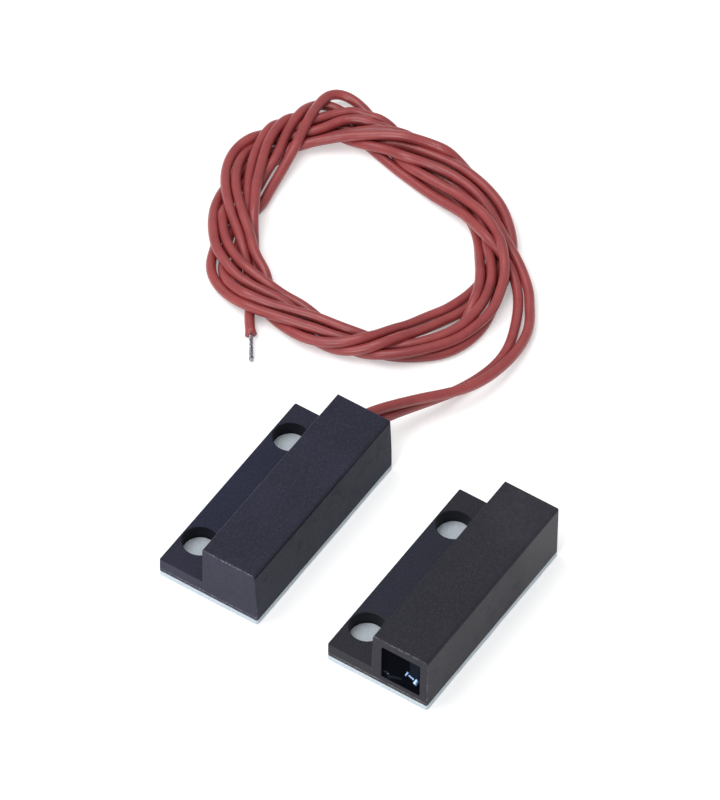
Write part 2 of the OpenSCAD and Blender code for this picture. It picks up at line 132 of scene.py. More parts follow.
B_TURNS = """
    0:26.6, 10:24.3, 20:21.6, 30:18.8, 40:16.8, 45:16.05, 50:15.35, 55:14.6, 60:13.95, 65:13.4, 70:13.05,
    75:12.9, 80:12.85, 85:12.9, 90:13.1, 95:13.4, 100:13.85, 110:15.2, 120:17.7, 125:20, 130:20.8, 135:21.6,
    140:22.9, 148:24.4, 150:24.3, 155:23.44, 160:22.12, 165:20.76, 170:19.51, 175:18.55, 180:17.78,
    185:17.03, 190:16.4, 200:15.8, 210:15.3, 220:15.3, 230:15.9, 240:16.8, 250:17.8, 260:18.8, 270:19.5,
    280:20.2, 285:20.5, 290:21.05, 295:21.35, 300:21.3, 305:20.9, 310:20.35, 315:19.85, 320:19.5, 325:19.4,
    330:19.4, 335:19.45, 340:19.55, 345:19.8, 350:20.1, 360:20.6, 370:20.6, 380:20.6, 390:20, 400:19.6,
    410:19.4, 420:19.3, 430:19.48, 435:19.69, 440:20, 445:20.17, 450:20.23, 455:20.21, 460:20.17, 465:20.09,
    470:19.86, 475:19.54, 480:19.28, 485:19.2, 490:19.15, 495:19.06, 500:19.07, 505:19.2, 510:19.3,
    515:19.75, 520:20.1, 525:20.5, 530:20.9, 535:20.9, 540:20.7, 545:21, 550:21.35, 555:21.28, 560:21.27,
    565:21.12, 570:20.93, 575:20.73, 580:20.47, 590:19.5, 595:19.12, 600:18.5, 610:17.2, 620:16.3, 630:16.7,
    640:17.7, 650:19, 660:20.8, 670:22, 680:22.5, 690:22.85, 695:23.1, 700:23.2, 705:23.2, 710:23.15,
    715:23.1, 720:22.85, 725:22.35, 730:22, 735:21.6, 740:21.1, 750:20.1, 755:19.55, 760:19, 765:18.4,
    770:17.8, 775:17.12, 780:16.54, 785:15.98, 790:15.47, 795:15.09, 800:14.88, 805:14.8, 810:14.75,
    815:14.9, 820:15.2, 825:16.1, 830:18, 840:23.1, 845:25.79, 850:27.33, 852:27.35, 855:26.52, 860:24.18,
    865:21.95, 870:20.05, 875:18.6, 880:17.58, 885:16.81, 890:16.2, 900:15.5, 910:15.2, 920:16.2, 925:17.5,
    930:18.3, 935:18.7, 940:19.2, 945:19.55, 950:20.35, 955:20.7, 960:20.5, 965:19.95, 970:19.17, 975:18.48,
    980:17.8, 985:17.22, 990:16.76, 995:16.43, 1000:16.27, 1010:16.7, 1015:17.15, 1020:17.7, 1025:18.4,
    1030:19.4, 1035:20.3, 1040:21.1, 1045:21.7, 1050:22.1, 1055:22.35, 1060:22.3, 1065:21.9, 1070:21.15,
    1075:20.4, 1080:19.85, 1085:19.2, 1090:18.6, 1100:17.5, 1110:17, 1120:16.6, 1130:16, 1140:15.35,
    1150:14.5, 1155:14.2, 1160:14.1, 1165:14.3, 1170:15, 1175:16.1, 1180:17.6, 1185:19.3, 1190:20.9,
    1195:22.09, 1200:22.62, 1205:23.69, 1210:23.6, 1215:23.35, 1220:23.15, 1225:22.7, 1230:22.95, 1240:23.9,
    1250:24.2, 1260:22.9, 1265:21.88, 1270:20.79, 1275:19.81, 1280:18.91, 1285:18.07, 1290:17.4, 1295:16.98,
    1300:16.72, 1305:16.6, 1310:16.7, 1315:16.8, 1320:17.2, 1325:18.2, 1330:19.6, 1336:21.4, 1341:23.5
"""
# Crossings: the upper lead and its turn, the lower lead and its turn, and the angles between which it holds
CROSSINGS = """
    B3>B1 0 85, B3>A1 0 90, B3>A4 25 85, B3>B4 0 85, B3>A2 0 80, B3>B2 0 60, B3>A3 0 25, A1>A3 22 45,
    A3>B2 30 79, A3>A2 30 80, A1>B3 92 120, A1>B1 92 125, B1>B4 30 80, B1>A4 25 60, A1>A4 60 95,
    A1>A2 30 80, A3>A4 75 95, B3>B1 92 100, B2>A3 98 135, B2>A2 98 150, A2>A4 96 121, B2>A4 95 118,
    A4>B4 108 132, B4>B3 116 127, A4>B3 108 125, A2>B3 102 122, B2>B3 98 120, B4>A3 118 138, A4>A3 112 138,
    A2>A3 100 135, B2>A1 118 150, B3>A1 134 195, B3>B1 134 180, B3>A2 130 195, B3>B2 130 195, B3>A3 134 195,
    B3>A4 130 195, B3>B4 130 195, A3>B1 140 160, B1>A1 152 182, A1>A4 158 178, B4>A4 162 232, B4>B2 175 200,
    A4>B1 192 220, A2>B4 225 240, B2>A3 205 225, B2>B3 205 235, A3>B3 225 290, B3>B2 255 290, B3>A2 255 290,
    A3>A1 250 275, A1>A3 288 330, A1>B3 292 335, A1>A2 290 335, A1>B2 285 330, B1>A1 308 345, A1>B1 270 300,
    B1>B3 300 345, B1>A3 305 340, B1>A2 300 335, B1>B2 298 335, A3>B3 300 359, A3>B1 345 359, A3>A1 345 359,
    B3>B1 347 359, B3>A1 347 359, A3>B2 318 359, B2>B3 325 348, A3>A2 325 359, B2>A2 318 359, A4>B4 0 60,
    A4>A2 0 20, B4>A2 0 20, A4>B2 0 20, B4>B2 0 20
"""
# Angles where lead a's turns end, lead b's turns end, lead b leaves the coil, and both leads join it
A_END, B_END, B_LEAVES, JOIN = 1330.0, 1342.5, 1331.0, 7.5
B_TAIL = [[-23.56, 28.51, 0.8], [-22.6, 27.14, 0.8], [-21.5, 25.8, 0.8]]
B_TIP = [[-20.82, 24.81, 0.75], [-19.93, 23.51, 0.65], [-18.9, 22.0, 0.55]]

# How the leads settle
ROUNDS, CALM_ROUNDS = 500, 60         # in all, and at the end
LOOK_EVERY = 40                       # rounds between two looks at what is hidden
SINK = 0.02                           # how far a lead sinks in a round
LEVEL_GAP = 0.3                       # difference in first height from which two points keep their order
TOUCH_ANGLE, TOUCH_ALONG = 9, 5       # degrees within which points can touch, points along a lead that can't
HIDE_ASIDE, HIDE_ABOVE = 1.0, 0.5     # a point is hidden by one that is so near as seen, and so much higher
LEAST_VIEW = 0.4                      # share in view that a hidden point keeps
CROSS_ASIDE = 0.9                     # how near in plan two points are that have crossed the wrong way round
MOST_PUSH = 0.8                       # longest push that undoes such a crossing
PUSH_WAY = [0.7, 0.7, 1.0]            # how readily points move along x, y and z
FREEDOM = 1.3                         # a point gives way by this, less its share in view
GAIN, CROWD = 1.5, 0.35               # a point's pushes add up, times GAIN / (1 + CROWD for each)
PUSHES = 3                            # steps of parting in a round
RETURN = 0.25                         # how far a point in view goes back to its seen place in a round
SOFT_SHIFT, SOFT_HEIGHT, SOFT_HEIGHT_CALM = 0.5, 0.35, 0.15       # shares of the softened values
FIRST_LIFT, FULL_GROWTH = 1.125, 0.09
LEAD_STEP = 0.6                       # between the rings of the insulation


def stops(text):
    """Two arrays from pairs written as angle:value."""
    pairs = np.array([[float(v) for v in item.split(":")] for item in text.split(",")])
    return pairs[:, 0], pairs[:, 1]


def through(x, y, t):
    """Cubic Hermite curve through the stops; the slope at a stop is that of the chord of its neighbours."""
    slope = np.gradient(y, x)
    i = np.clip(np.searchsorted(x, t) - 1, 0, len(x) - 2)
    h = x[i + 1] - x[i]
    s = (t - x[i]) / h
    return ((1 + 2 * s) * (1 - s) ** 2 * y[i] + s * (1 - s) ** 2 * h * slope[i]
            + s * s * (3 - 2 * s) * y[i + 1] + s * s * (s - 1) * h * slope[i + 1])


def bell(half, width):
    """Weights of a normalised Gaussian."""
    k = np.exp(-0.5 * (np.arange(-half, half + 1) / width) ** 2)
    return k / k.sum()


def soften(v, k):
    """Columns of v averaged with the weights k; past its ends v is carried on by point reflection."""
    n = len(k) // 2
    w = np.concatenate([2 * v[:1] - v[n:0:-1], v, 2 * v[-1:] - v[-2:-n - 2:-1]])
    return np.stack([np.convolve(w[:, c], k, mode="valid") for c in range(v.shape[1])], 1)


def seen_turns(text, end):
    """Angles, seen places and first heights of one lead. A turn that runs inwards starts on top and one that
    runs outwards underneath, as in a twisted bundle: the height is the lead's radius + FIRST_LIFT (1 -
    tanh(g / FULL_GROWTH)), where g is the softened growth of the turn's radius for each degree."""
    angle = np.arange(0, end + 1e-6, STEP)
    radius = through(*stops(text), angle)
    outwards = np.convolve(np.pad(np.gradient(radius, angle), 12, mode="edge"), bell(12, 4), mode="valid")
    height = LEAD_D / 2 + FIRST_LIFT - FIRST_LIFT * np.tanh(outwards / FULL_GROWTH)
    a = np.radians(angle)
    return angle, COIL_MID + np.c_[radius * np.cos(a), radius * np.sin(a)], height


def crossing_order(t, z, who):
    """1 where the first of two points lies over the second, -1 where under it and 0 where either may. Points
    with a clear difference in first height keep their order, and the crossings overrule it."""
    above = z[:, None] - z[None, :]
    order = np.where(np.abs(above) > LEVEL_GAP, np.sign(above), 0)
    for item in CROSSINGS.split(","):
        pair, start, stop = item.split()
        rows = []
        for lead, turn in pair.split(">"):
            angle = t - 360 * (int(turn) - 1)
            rows.append((who == "AB".index(lead)) & (angle >= float(start)) & (angle <= float(stop)))
        order[np.ix_(rows[0], rows[1])] = 1
        order[np.ix_(rows[1], rows[0])] = -1
    return order


def neighbours(t, who):
    """The pairs of points that can touch: near in angle round the coil, and not next to each other on the
    same lead."""
    index = np.arange(len(t))
    same = (who[:, None] == who[None, :]) & (np.abs(index[:, None] - index[None, :]) < TOUCH_ALONG)
    apart = np.abs((t[:, None] - t[None, :] + 180) % 360 - 180)
    return np.nonzero(np.triu((apart < TOUCH_ANGLE) & ~same, 1))


def share_in_view(x, i, j, parts):
    """How far the camera sees each point, softened along each lead: a point is hidden where, as seen, one
    that is higher lies right over it."""
    flat = x[:, :2] + SEEN_SHIFT * (x[:, 2:] - SEEN_Z)
    close = np.linalg.norm(flat[i] - flat[j], axis=1) < HIDE_ASIDE
    rise = x[i, 2] - x[j, 2]
    hidden = np.zeros(len(x))
    hidden[j[close & (rise > HIDE_ABOVE)]] = 1
    hidden[i[close & (rise < -HIDE_ABOVE)]] = 1
    seen = [soften(1 - hidden[part, None], bell(6, 2.5))[:, 0] for part in parts]
    return np.clip(np.concatenate(seen), LEAST_VIEW, 1)


def parted(x, i, j, order, view):
    """The points after one step that parts the pairs nearer than a lead's diameter: along the line between
    them, or in height where the upper point of a crossing has sunk under the lower one. A point that the
    camera sees gives way less than a hidden one."""
    gap = x[i] - x[j]
    far = np.linalg.norm(gap, axis=1)
    flat = np.linalg.norm(gap[:, :2], axis=1)
    wrong = (order != 0) & (gap[:, 2] * order < 0) & (flat < CROSS_ASIDE)
    near = (far < LEAD_D) | wrong
    a, b, g, w, o = i[near], j[near], gap[near], wrong[near], order[near]
    way = g / np.maximum(far[near], 1e-6)[:, None]
    way[w] = np.c_[np.zeros((w.sum(), 2)), o[w]]
    way *= PUSH_WAY
    push = LEAD_D - far[near]
    climb = np.sqrt(np.maximum(LEAD_D ** 2 - flat[near][w] ** 2, 0)) + np.abs(g[w, 2])
    push[w] = np.minimum(climb, MOST_PUSH)
    give = (FREEDOM - view[a]) / (2 * FREEDOM - view[a] - view[b])
    step = 0.5 * push[:, None] * way / np.maximum(np.linalg.norm(way, axis=1), 1e-6)[:, None]
    move, count = np.zeros_like(x), np.ones(len(x))
    np.add.at(move, a, step * give[:, None])
    np.add.at(move, b, -step * (1 - give)[:, None])
    np.add.at(count, a, CROWD)
    np.add.at(count, b, CROWD)
    x = x + move / count[:, None] * GAIN
    x[:, 2] = np.maximum(x[:, 2], LEAD_D / 2)
    return x


def settle():
    """Lays the two leads on the ground and on each other.

    Each round: the leads sink a little; heights and sideways shifts are softened along each lead; points
    that the camera sees go back towards their seen place, sliding along the line of sight; pairs of points
    that are too near part, and nothing goes under the ground. In the calm rounds nothing sinks."""
    leads = [seen_turns(A_TURNS, A_END), seen_turns(B_TURNS, B_END)]
    t, seen, z = (np.concatenate([lead[k] for lead in leads]) for k in range(3))
    points_a = len(leads[0][0])
    parts = [slice(0, points_a), slice(points_a, len(t))]
    who = np.repeat([0, 1], [points_a, len(t) - points_a])
    x = np.c_[seen - SEEN_SHIFT * (z[:, None] - SEEN_Z), z]
    i, j = neighbours(t, who)
    order = crossing_order(t, z, who)[i, j]
    for n in range(ROUNDS):
        calm = n >= ROUNDS - CALM_ROUNDS
        share = SOFT_HEIGHT_CALM if calm else SOFT_HEIGHT
        if n % LOOK_EVERY == 0 and not calm:
            view = share_in_view(x, i, j, parts)
        x[:, 2] -= 0 if calm else SINK
        shift = x[:, :2] - seen + SEEN_SHIFT * (x[:, 2:] - SEEN_Z)
        for part in parts:
            shift[part] = (1 - SOFT_SHIFT) * shift[part] + SOFT_SHIFT * soften(shift[part], bell(9, 3.2))
            x[part, 2] += share * (soften(x[part, 2:], bell(9, 2.4))[:, 0] - x[part, 2])
        shift *= 1 - RETURN * view[:, None]
        x[:, :2] = seen - SEEN_SHIFT * (x[:, 2:] - SEEN_Z) + shift
        for again in range(PUSHES):
            x = parted(x, i, j, order, view)
    return [(t[part], x[part]) for part in parts]


def lengths(p):
    """Distance along a polyline at each of its points."""
    return np.r_[0, np.cumsum(np.linalg.norm(np.diff(p, axis=0), axis=1))]


def evenly(points, step):
    """Cubic curve through the points, with new points about step apart."""
    p = np.asarray(points, float)
    s = lengths(p)
    fine = np.stack([through(s, p[:, c], np.linspace(0, s[-1], 8 * len(p))) for c in range(3)], 1)
    s = lengths(fine)
    t = np.linspace(0, s[-1], max(2, round(s[-1] / step) + 1))
    return np.stack([np.interp(t, s, fine[:, c]) for c in range(3)], 1)


def unit(v):
    """Rows of v brought to length 1."""
    return v / np.linalg.norm(v, axis=-1, keepdims=True)


def frames(line):
    """Sideways and upward directions along a line that is never upright."""
    ahead = unit(np.gradient(line, axis=0))
    side = unit(np.cross(UP, ahead))
    return side, np.cross(ahead, side)


# Meshes
def add_mesh(name, points, faces, uv=None, smooth=True):
    """A mesh object from points in millimetres and lists of faces; uv holds a pair per corner of a face."""
    mesh = bpy.data.meshes.new(name)
    mesh.from_pydata((np.asarray(points) * MM).tolist(), [], faces)
    mesh.polygons.foreach_set("use_smooth", np.full(len(mesh.polygons), smooth))
    if uv is not None:
        layer = mesh.uv_layers.new(name="along")
        layer.data.foreach_set("uv", np.asarray(uv, np.float32).ravel())
    mesh.update()
    made = bpy.data.objects.new(name, mesh)
    bpy.context.scene.collection.objects.link(made)
    return made


def ring_faces(rings, sides, start=0):
    """Quads between neighbouring rings of points, and a face over each end."""
    r, s = np.meshgrid(np.arange(rings - 1), np.arange(sides), indexing="ij")
    a = start + r * sides + s
    b = start + r * sides + (s + 1) % sides
    faces = np.stack([a, b, b + sides, a + sides], -1).reshape(-1, 4).tolist()
    faces.append(list(range(start + sides - 1, start - 1, -1)))
    faces.append(list(range(start + (rings - 1) * sides, start + rings * sides)))
    return faces


def swept(line, radius, sides):
    """Rings of points round a line: point k of ring n is line[n] + radius (side cos a + up sin a), where a
    goes round the ring. radius is one number, or one per ring and side."""
    side, up = frames(line)
    a = 2 * np.pi * np.arange(sides) / sides
    radius = np.broadcast_to(radius, (len(line), sides))
    across = np.cos(a)[:, None] * side[:, None] + np.sin(a)[:, None] * up[:, None]
    return (line[:, None] + radius[..., None] * across).reshape(-1, 3)


def joined(parts):
    """Points and faces of several closed skins as one; each part is (points, rings, sides)."""
    points, faces, start = [], [], 0
    for p, rings, sides in parts:
        points.append(p)
        faces += ring_faces(rings, sides, start)
        start += len(p)
    return np.concatenate(points), faces


# Materials
class Wire:
    """An output socket. Arithmetic on it adds Math nodes to its material."""

    def __init__(self, finish, socket):
        self.finish, self.socket = finish, socket

    def calc(self, operation, *values):
        """A Math node on the values, which are numbers or wires."""
        return self.finish.node("ShaderNodeMath", dict(enumerate(values)), operation=operation)

    def __add__(self, other):
        return self.calc("ADD", self, other)

    __radd__ = __add__

    def __sub__(self, other):
        return self.calc("SUBTRACT", self, other)

    def __rsub__(self, other):
        return self.calc("SUBTRACT", other, self)

    def __mul__(self, other):
        return self.calc("MULTIPLY", self, other)

    __rmul__ = __mul__

    def __abs__(self):
        return self.calc("ABSOLUTE", self)

    def at_most(self, other):
        return self.calc("MINIMUM", self, other)

    def at_least(self, other):
        return self.calc("MAXIMUM", self, other)

    def step(self, low, high):
        """0 below low and 1 above high, with a smooth step between; high may be the smaller."""
        return self.finish.node("ShaderNodeMapRange", {0: self, 1: low, 2: high, 3: 0.0, 4: 1.0},
                                interpolation_type="SMOOTHSTEP")


class Finish:
    """A material on one Principled shader."""

    def __init__(self, name, **constants):
        self.material = bpy.data.materials.new(name)
        self.material.use_nodes = True
        self.tree = self.material.node_tree
        self.shader = self.tree.nodes["Principled BSDF"]
        for socket, value in constants.items():
            self.shader.inputs[socket.replace("_", " ")].default_value = value

    def node(self, kind, values, output=0, **settings):
        """A node with its settings, then the values or links of its sockets; gives one of its outputs."""
        made = self.tree.nodes.new(kind)
        for key, value in settings.items():
            setattr(made, key, value)
        for key, value in values.items():
            if isinstance(value, Wire):
                self.tree.links.new(value.socket, made.inputs[key])
            else:
                made.inputs[key].default_value = value
        return Wire(self, made.outputs[output])

    def place(self):
        """Object coordinates in millimetres."""
        found = self.node("ShaderNodeTexCoord", {}, output="Object")
        return self.node("ShaderNodeVectorMath", {0: found, "Scale": 1.0 / MM}, operation="SCALE")

    def axes(self, place):
        """The x, y and z of a place."""
        split = self.node("ShaderNodeSeparateXYZ", {0: place})
        return [Wire(self, socket) for socket in split.socket.node.outputs]

    def noise(self, place, size, detail=2.0, roughness=0.5, stretch=None):
        """Noise from 0 to 1 with lumps of about size millimetres."""
        if stretch:
            place = self.node("ShaderNodeVectorMath", {0: place, 1: stretch}, operation="MULTIPLY")
        return self.node("ShaderNodeTexNoise", {"Vector": place, "Scale": 1.0 / size, "Detail": detail,
                                                "Roughness": roughness})

    def cells(self, place, size):
        """Distance to the nearest of scattered points, size millimetres apart on average."""
        return self.node("ShaderNodeTexVoronoi", {"Vector": place, "Scale": 1.0 / size})

    def blend(self, share, first, second):
        """A colour from first to second."""
        return self.node("ShaderNodeMix", {0: share, 6: first, 7: second}, output=2, data_type="RGBA")

    def bump(self, height, depth):
        """A normal from a height of 0 to 1 that stands depth millimetres high."""
        return self.node("ShaderNodeBump", {"Height": height, "Distance": depth * MM, "Strength": 1.0})

    def give(self, **wires):
        """Links the wires to the sockets of the shader that they are named for."""
        for socket, wire in wires.items():
            self.tree.links.new(wire.socket, self.shader.inputs[socket.replace("_", " ")])
        return self


def rgb(r, g, b):
    """Linear colour of an sRGB colour given from 0 to 255."""
    return [*(c / 255 / 12.92 if c <= 10 else ((c / 255 + 0.055) / 1.055) ** 2.4 for c in (r, g, b)), 1.0]


def paint(made, finish):
    """Gives an object one finish all over."""
    made.data.materials.clear()
    made.data.materials.append(finish.material)


def dress(made, finish, replaces=()):
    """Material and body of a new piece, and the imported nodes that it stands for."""
    paint(made, finish)
    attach(made, "base")
    if replaces:
        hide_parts(*replaces)
    return made


# Finishes
# Painted light and shade on the housings: painted shade on the right face, a painted pale light on the near
# end and a painted bluish reflection on the flange
RIGHT_FACE_SHADE, NEAR_END_LIGHT, FLANGE_REFLECTION = rgb(26, 33, 48), rgb(104, 102, 122), rgb(26, 36, 62)
# Painted shade on the walls of the screw holes, and in the groove of the seam
HOLE_SHADE, SEAM_SHADE = rgb(8, 8, 12), rgb(2, 2, 4)
HOLE_WALL = 6.62, 6.52                        # squares of the radii between which a hole's wall is painted darker, as shade


def box_edges(half):
    """Pairs of faces, each an axis and a place, that meet in a housing's edges: those round the box's top,
    its two upright ones on the right, the flange's left one, and the near ones at the foot."""
    top, left, right = ("z", BOX_TOP), ("x", half["step"]), ("x", half["x"][1])
    near, far = (("y", place) for place in half["y"])
    return [(right, top), (left, top), (near, top), (far, top), (right, near), (right, far),
            (("x", half["x"][0]), ("z", FLANGE_TOP)), (near, ("z", TAPE_TOP)), (near, ("z", TAPE_TOP + 0.5))]


def edge_distance(axes, pairs):
    """Distance to the nearest edge: at an edge both faces are near, so it is the least, over the pairs of
    faces, of the larger of the two distances."""
    off = None
    for first, second in pairs:
        one = abs(axes[first[0]] - first[1]).at_least(abs(axes[second[0]] - second[1]))
        off = one if off is None else off.at_most(one)
    return off


def disc(x, y, middle, outer, inner):
    """1 round the middle and 0 far from it: a step on the square of the distance, from outer to inner."""
    return ((x - middle[0]) * (x - middle[0]) + (y - middle[1]) * (y - middle[1])).step(outer, inner)


def housing(name, half, shine, plain, grime, pale, right, near, flange, lean=0.0, seam=None, rub_and_sheen=None):
    """Moulded plastic: cloudy mould texture, fine grain, pale nicks along the edges, a painted highlight
    along the edges, and painted shade on the walls of the screw holes. right, near and flange are the shares
    of painted light and shade: painted shade on the right face, which may lean inwards by lean for each
    millimetre of height, a painted pale light on the near end, and a painted bluish reflection on the
    flange. seam is the height of a hairline groove on the right face, where the two mould parts met, painted
    dark as shade. The last argument gives the middle and reach of a pale patch: rubbed wear on the top, and
    a stronger painted sheen on the right face."""
    f = Finish(name, Specular_IOR_Level=shine)
    p = f.place()
    x, y, z = f.axes(p)
    right_x, near_y, flange_x = half["x"][1], half["y"][0], half["step"] - 0.05
    cloud = f.noise(p, 9.0, 4.0, 0.55)
    fine = f.noise(p, 0.16, 3.0, 0.6)
    rub = f.noise(p, 2.2, 5.0, 0.7).step(0.5, 0.72)
    off = edge_distance({"x": x, "y": y, "z": z}, box_edges(half))
    edge = off.step(0.2, 0.05)
    chips = f.cells(p, 0.2).step(0.6, 0.3) * f.noise(p, 0.9, 3.0, 0.6).step(0.42, 0.56)
    nicks = chips * off.step(0.2, 0.1) * y.step(near_y + 0.5, near_y + 0.3)
    on_right = (x + (z - TAPE_TOP) * lean).step(right_x - 0.04, right_x - 0.02)
    on_near = y.step(near_y + 0.02, near_y + 0.01)
    on_flange = x.step(flange_x, flange_x - 0.1) * abs(y).step(14.0, 6.0)
    colour = f.blend(cloud.step(0.3, 0.7), plain, grime)
    # painted shade: the right face darker and bluer
    colour = f.blend(on_right * right, colour, RIGHT_FACE_SHADE)
    # painted light: the near end paler and bluer
    colour = f.blend(on_near * near, colour, NEAR_END_LIGHT)
    # painted reflection: a bluish tint on the middle of the flange
    colour = f.blend(on_flange * flange, colour, FLANGE_REFLECTION)
    # a pale patch: rubbed wear on the top, and a stronger painted sheen on the right face
    if rub_and_sheen:
        patch = disc(x, y, rub_and_sheen, rub_and_sheen[2] ** 2, 0.1 * rub_and_sheen[2] ** 2)
        patch = patch * (x.step(right_x - 0.1, right_x - 0.05) * 0.06 + rub * 0.04 + 0.02)
        colour = f.blend(patch, colour, pale)
    colour = f.blend(f.noise(p, 0.3, 2.0, 0.6).step(0.42, 0.75) * 0.04, colour, pale)
    # painted highlight along the edges
    colour = f.blend(edge * 0.1, colour, pale)
    colour = f.blend(nicks * 0.6, colour, pale)
    # painted shade on the walls of the screw holes
    for hole in half["holes"]:
        colour = f.blend(disc(x, y, hole, *HOLE_WALL) * 0.8, colour, HOLE_SHADE)
    height = fine * 0.6 + cloud * 0.4
    if seam:
        line = (abs(z - seam) + (fine - 0.5) * 0.05).step(0.16, 0.08) * x.step(right_x - 0.6, right_x - 0.5)
        height = height - line * 2.0
        # the seam's groove painted dark, as its shade
        colour = f.blend(line, colour, SEAM_SHADE)
    rough = 0.46 + fine * 0.1 + rub * 0.08 - edge * 0.08
    return f.give(Base_Color=colour, Roughness=rough, Normal=f.bump(height, 0.012))


def foam_finish():
    """Closed-cell foam: round pores in the cut edge, painted darker as shade in their hollows, and whiter
    where the skin is smooth.
    """
    f = Finish("tape foam", Specular_IOR_Level=0.3)
    p = f.place()
    pores = f.cells(p, 0.16).step(0.15, 0.6)
    tone = f.noise(p, 1.4, 3.0)
    # the pores painted darker, as shade in their hollows
    colour = f.blend(pores * 0.6 + tone * 0.4, rgb(178, 189, 197), rgb(208, 218, 225))
    return f.give(Base_Color=colour, Roughness=0.62 + tone * 0.2, Normal=f.bump(pores, 0.03))


def paper_finish():
    """Release paper: soft fibres under a silicone skin."""
    f = Finish("liner paper", Specular_IOR_Level=0.4)
    p = f.place()
    fibre = f.noise(p, 0.35, 5.0, 0.7, stretch=(1.0, 0.25, 1.0))
    colour = f.blend(fibre, rgb(208, 219, 224), rgb(234, 239, 243))
    return f.give(Base_Color=colour, Roughness=0.42 + fibre * 0.18, Normal=f.bump(fibre, 0.006))


def lead_finish():
    """Matte extruded insulation: long shallow draw marks, a cloudy darkening and fine dust."""
    f = Finish("lead insulation", Specular_IOR_Level=0.5)
    p = f.place()
    along = f.node("ShaderNodeUVMap", {}, uv_map="along")
    draw = f.noise(along, 1.0, 3.0, 0.6, stretch=(0.25, 9.0, 1.0))
    cloud = f.noise(p, 3.0, 4.0, 0.6)
    dust = f.noise(p, 0.12, 3.0, 0.7)
    colour = f.blend(cloud.step(0.3, 0.75), rgb(151, 63, 63), rgb(137, 52, 54))
    colour = f.blend(dust.step(0.5, 0.75) * 0.18, colour, rgb(186, 112, 110))
    return f.give(Base_Color=colour, Roughness=0.27 + cloud * 0.08 + dust * 0.08,
                  Normal=f.bump(draw * 0.6 + dust * 0.4, 0.025))


def strand_finish():
    """Tinned copper: soft grey metal with bright and dull spots of tin."""
    f = Finish("tinned strands", Metallic=1.0)
    tin = f.noise(f.place(), 0.3, 4.0, 0.65)
    colour = f.blend(tin.step(0.35, 0.65), rgb(104, 108, 122), rgb(206, 210, 220))
    return f.give(Base_Color=colour, Roughness=0.16 + tin * 0.3, Normal=f.bump(tin, 0.02))


def resin_finish():
    """Poured epoxy: glossy, with slow waves left by its shrinking and a few sunk pinholes."""
    f = Finish("potting resin", Specular_IOR_Level=0.5)
    p = f.place()
    waves = f.noise(p, 3.2, 1.0, 0.3)
    pin = f.cells(p, 1.9).step(0.09, 0.03)
    colour = f.blend(f.noise(p, 1.0, 2.0), rgb(11, 12, 16), rgb(16, 17, 22))
    return f.give(Base_Color=colour, Roughness=0.1 + f.noise(p, 0.8, 3.0) * 0.08,
                  Normal=f.bump(waves - pin * 0.1, 0.5))


def mouth_finish():
    """Resin in the magnet's mouth: dull black; where its point attribute is above 0, a clear coat and a
    painted dark bluish reflection, and where it is near 1, a bright bluish metallic gloss."""
    f = Finish("mouth resin", Specular_IOR_Level=0.0, Coat_Roughness=0.1, Coat_IOR=1.5)
    tone = f.noise(f.place(), 0.7, 3.0)
    gloss_and_painted_sheen = f.node("ShaderNodeAttribute", {}, output="Fac", attribute_name="gloss_and_painted_sheen")
    gloss = gloss_and_painted_sheen.step(0.6, 0.9)
    colour = f.blend(tone, rgb(10, 11, 16), rgb(15, 16, 22))
    # painted reflection: dark bluish where the attribute is above 0
    colour = f.blend(gloss_and_painted_sheen.step(0.02, 0.07), colour, rgb(13, 21, 34))
    colour = f.blend(gloss, colour, rgb(54, 66, 84))
    return f.give(Base_Color=colour, Roughness=0.28 + tone * 0.1 - gloss * 0.14, Metallic=gloss,
                  Coat_Weight=gloss_and_painted_sheen - gloss)


def glass_finish():
    """Tube glass with faint drawn streaks."""
    f = Finish("tube glass", Transmission_Weight=1.0, IOR=1.5)
    streak = f.noise(f.place(), 0.5, 3.0, 0.5, stretch=(1.0, 0.08, 1.0))
    colour = f.blend(streak, rgb(222, 236, 230), rgb(240, 248, 245))
    return f.give(Base_Color=colour, Roughness=0.02 + streak * 0.05, Normal=f.bump(streak, 0.004))


def metal_finish(name, dark, light, rough, size, stretch):
    """Bare metal with marks of about size millimetres, drawn out along an axis."""
    f = Finish(name, Metallic=1.0)
    mark = f.noise(f.place(), size, 4.0, 0.65, stretch=stretch)
    return f.give(Base_Color=f.blend(mark, dark, light), Roughness=mark * 0.2 + rough,
                  Normal=f.bump(mark, 0.01))


switch_plastic = housing("switch plastic", SWITCH, shine=0.1, plain=rgb(42, 42, 57), grime=rgb(38, 38, 51),
                         pale=rgb(150, 150, 162), right=0.5, near=0.12, flange=0.3, lean=0.0545, seam=9.74)
magnet_plastic = housing("magnet plastic", MAGNET, shine=0.17, plain=rgb(34, 34, 42), grime=rgb(38, 37, 46),
                         pale=rgb(150, 146, 150), right=0.0, near=0.0, flange=0.25, rub_and_sheen=(33.5, 14.5, 9.0))
foam, paper, red, tin, resin = foam_finish(), paper_finish(), lead_finish(), strand_finish(), resin_finish()
reed_metal = metal_finish("reed alloy", rgb(140, 138, 134), rgb(186, 184, 180), rough=0.22, size=0.25,
                          stretch=(1.0, 0.1, 1.0))
solder_metal = metal_finish("solder", rgb(132, 134, 138), rgb(188, 190, 194), rough=0.3, size=0.6,
                            stretch=(1.0, 1.0, 1.0))
magnet_metal = metal_finish("magnet alloy", rgb(96, 94, 94), rgb(142, 140, 140), rough=0.35, size=0.4,
                            stretch=(1.0, 0.3, 1.0))
CAD_FINISHES = {
    "switch_housing": switch_plastic, "magnet_housing": magnet_plastic, "reed_glass": glass_finish(),
    "reed_blade_a": reed_metal, "reed_blade_b": reed_metal, "solder_joint_a": solder_metal,
    "solder_joint_b": solder_metal, "lead_a_core": tin, "lead_b_core": tin, "switch_potting": resin,
    "magnet_potting": resin, "bar_magnet": magnet_metal}
